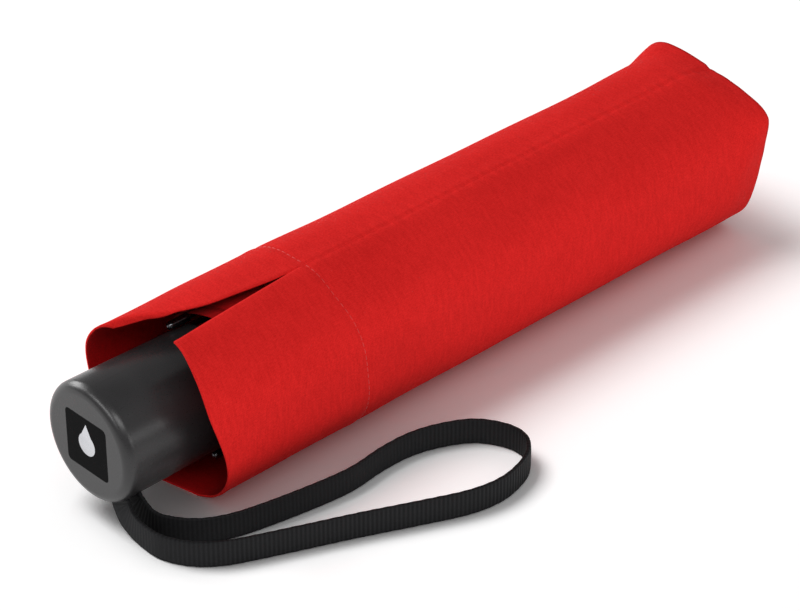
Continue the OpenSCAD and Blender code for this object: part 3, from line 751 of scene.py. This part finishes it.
def make_canopy():
    """The folded canopy's outer wrap: pleats, the pinch of the band and the gather at the crown."""
    hem_s, gather_s, crown_s = CANOPY_S
    tie_s = sum(TIE_S) / 2
    profile = pleat_profile()
    turn, lift, reach = profile[:-1].T
    columns, rows = len(turn), CANOPY_ROWS
    points, uvs = np.zeros((rows, columns, 3)), np.zeros((rows, columns, 2))
    flat = np.radians(np.abs(np.diff(profile[:, 0], prepend=profile[0, 0])))[:columns].cumsum() * CANOPY_R
    for i, t in enumerate(np.linspace(0, 1, rows)):
        hem = hem_s + PLEAT_HEM * np.sin(np.clip(reach, 0, 1) * math.pi / 2) ** 2
        s = hem + (crown_s - hem) * t
        drawn_in = np.clip((s - gather_s + 6) / (crown_s - gather_s + 6.6), 0, 1)
        gather = 1 - np.sqrt(1 - drawn_in**2)
        band = np.exp(-(((s - tie_s) / 13) ** 4))
        pleat = np.floor((turn - PLEAT_STEP / 2) / PLEAT_STEP)
        puff = 0.45 * (0.6 + 0.4 * np.sin(pleat * 2.4)) * np.sin(math.pi * ease(s, 100, 225)) ** 2
        puff += 0.35 * (0.5 + 0.5 * np.cos(pleat * 1.7)) * (1 - ease(s, 50, 86))
        wobble = 0.16 * np.sin(0.09 * s + np.radians(turn) * 3)
        wobble = wobble + 0.13 * np.sin(0.23 * s + np.radians(turn) * 5 + 1)
        pucker = 0.14 * np.sin(np.radians(turn) * 24) * np.exp(-(((np.abs(s - tie_s) - 12) / 6) ** 2))
        radius = CANOPY_R - WRAP_R + lift * (1 - 0.45 * gather)
        radius += (wobble + pucker + puff - 0.1 - 0.75 * band) * ease(lift, 0.3, 1.6)
        radius = radius * (1 - gather) + gather * (GATHERED_R - 1.2 + 0.6 * lift)
        points[i] = on_shaft(s, radius, turn + 0.05 * (s - tie_s) + 1.5 * np.sin(0.03 * s + reach * 2))
        uvs[i] = np.stack([s, flat], axis=1)
    faces = grid_faces(rows, columns, closed=True)
    cloth = mesh_object(
        "canopy_cloth_folded", metres(points.reshape(-1, 3)), faces, ["canopy_cloth"], uvs.reshape(-1, 2),
    )
    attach(cloth, "frame")
    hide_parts("canopy")


def make_tie():
    """The closing band: one turn of double cloth whose tongue lies over its root under the fastener."""
    rows, columns = 9, 150
    last = TIE_TURN + 360 + TIE_LAP
    points, uvs = np.zeros((rows, columns, 3)), np.zeros((rows, columns, 2))
    turn = np.linspace(TIE_TURN - TIE_LAP, last, columns)
    over = ease(turn, TIE_TURN + 320, TIE_TURN + 346)
    ends = 1 - 0.32 * (1 - ease(last - turn, 0, 9))
    half = (TIE_S[1] - TIE_S[0]) / 2
    for i, t in enumerate(np.linspace(-1, 1, rows)):
        s = sum(TIE_S) / 2 + t * half * ends
        radius = CANOPY_R + 0.12 + 0.32 * over + 0.1 * (1 - t * t) + 0.05 * np.sin(np.radians(turn) * 9)
        points[i] = on_shaft(s, radius, turn)
        uvs[i] = np.stack([s, np.radians(turn) * CANOPY_R], axis=1)
    faces = grid_faces(rows, columns)
    band = mesh_object(
        "tie_strap_cloth", metres(points.reshape(-1, 3)), faces, ["canopy_cloth"], uvs.reshape(-1, 2),
    )
    thicken(band, 0.25, 0.0)
    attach(band, "frame")
    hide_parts("tie_strap")
    for k, edge in enumerate((1, rows - 2)):
        line = points[edge][3:-3]
        centre = np.array([0, AXIS[0], AXIS[1]])
        out = unit((line - centre) * np.array([0, 1, 1]))
        name = f"tie_strap_stitches_{k + 1}"
        stitches(name, line + out * 0.14, out, "frame")


def make_rosette():
    """The small ruffled disc of cloth between the canopy and the cap."""
    rows, columns = 12, 192
    points, uvs = [], []
    for i in range(rows):
        t = i / (rows - 1)
        for j in range(columns):
            a = 360.0 * j / columns
            ruffle = t**1.5 * math.sin(math.radians(a * 16 + 20 * math.sin(math.radians(a * 3))))
            r = 6.4 + t * 6.6 + 0.35 * ruffle
            points.append(on_shaft(231.3 - 1.5 * t * t + 0.4 * ruffle, r, np.array(a)))
            uvs.append((r * math.cos(math.radians(a)), r * math.sin(math.radians(a))))
    faces = grid_faces(rows, columns, closed=True)
    o = mesh_object("rosette_cloth", metres(points), faces, ["canopy_cloth"], uvs)
    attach(o, "frame")
    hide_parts("rosette")


make_canopy()
make_tie()
make_rosette()

# ---------------------------------------------------------------- carried-over CAD parts

SMOOTH_ANGLE = math.radians(32)


def soften(mesh):
    """Shades a CAD mesh smooth, apart from its real edges."""
    mesh.shade_smooth()
    mesh.set_sharp_from_angle(angle=SMOOTH_ANGLE)


slot_of = {row["node"]: row["material_slot"] for row in frame["record"]["subparts"]}
for name, o in frame["nodes"].items():
    soften(o.data)
    o.data.materials.clear()
    o.data.materials.append(MATERIALS.get(slot_of.get(name), MATERIALS["black_plastic"]))

# ---------------------------------------------------------------- floor and light

FLOOR_WHITE = (1.15, 1.147, 1.148)  # above 1, so that the lit floor bleaches to white
LIGHT_AIM = (0, 0, 0.02)


def make_floor():
    size = 6.0
    m = Nodes("floor", (1, 1, 1), 0.9)
    grain = m.noise(4.0, 2.0)
    paint = m.tree.nodes.new("ShaderNodeBsdfDiffuse")
    m.set(paint, {"Color": m.mix(grain, FLOOR_WHITE, tuple(c * 0.985 for c in FLOOR_WHITE))})
    m.tree.links.new(paint.outputs[0], m.tree.nodes["Material Output"].inputs["Surface"])
    MATERIALS["floor"] = m.material
    corners = [(-size, -size, 0), (size, -size, 0), (size, size, 0), (-size, size, 0)]
    floor = mesh_object("floor", corners, [(0, 1, 2, 3)], ["floor"], smooth=False)


def make_light(name, place, size, power, off=(), only=()):
    """A soft light, flagged off the objects named in off, or kept on those named in only."""
    data = bpy.data.lights.new(name, "AREA")
    data.shape, data.size, data.size_y, data.energy = "RECTANGLE", size[0], size[1], power
    o = bpy.data.objects.new(name, data)
    o.location = place
    o.rotation_mode = "QUATERNION"
    o.rotation_quaternion = (Vector(place) - Vector(LIGHT_AIM)).to_track_quat("Z", "Y")
    o.visible_camera = False
    bpy.context.scene.collection.objects.link(o)
    flags = bpy.data.collections.new(name + "_flags")
    for lit in (*off, *only):
        flags.objects.link(bpy.data.objects[lit])
    for row in flags.collection_objects:
        row.light_linking.link_state = "EXCLUDE" if off else "INCLUDE"
    o.light_linking.receiver_collection = flags


def make_world(strength):
    world = bpy.data.worlds.new("studio")
    world.use_nodes = True
    background = world.node_tree.nodes["Background"]
    background.inputs["Color"].default_value = (1, 1, 1, 1)
    background.inputs["Strength"].default_value = strength
    bpy.context.scene.world = world


make_floor()
make_world(0.32)
make_light("floor_key", (-0.4, 0.75, 1.5), (0.9, 0.9), 22.0, only=("floor",))
make_light("floor_fill", (0.34, -0.16, 0.27), (0.2, 0.2), 0.12, only=("floor",))
make_light("back_rim", (-0.25, 0.95, 0.42), (0.7, 0.4), 7.4, off=("floor",))
make_light("front_fill", (-0.3, -0.78, 1.04), (1.0, 0.5), 6.75, off=("floor",))
make_light("left_card", (-0.85, -0.35, 0.42), (0.3, 0.45), 0.5, off=("floor", "handle_shell", "end_badge"))
make_light("bevel_card", (-0.95, 0.1, 0.72), (1.1, 0.16), 4.6, only=("handle_shell",))
make_light("grip_card", (0.25, -1.0, 0.3), (0.5, 0.2), 1.2, only=("handle_shell",))
bpy.context.scene.view_settings.view_transform = "Standard"
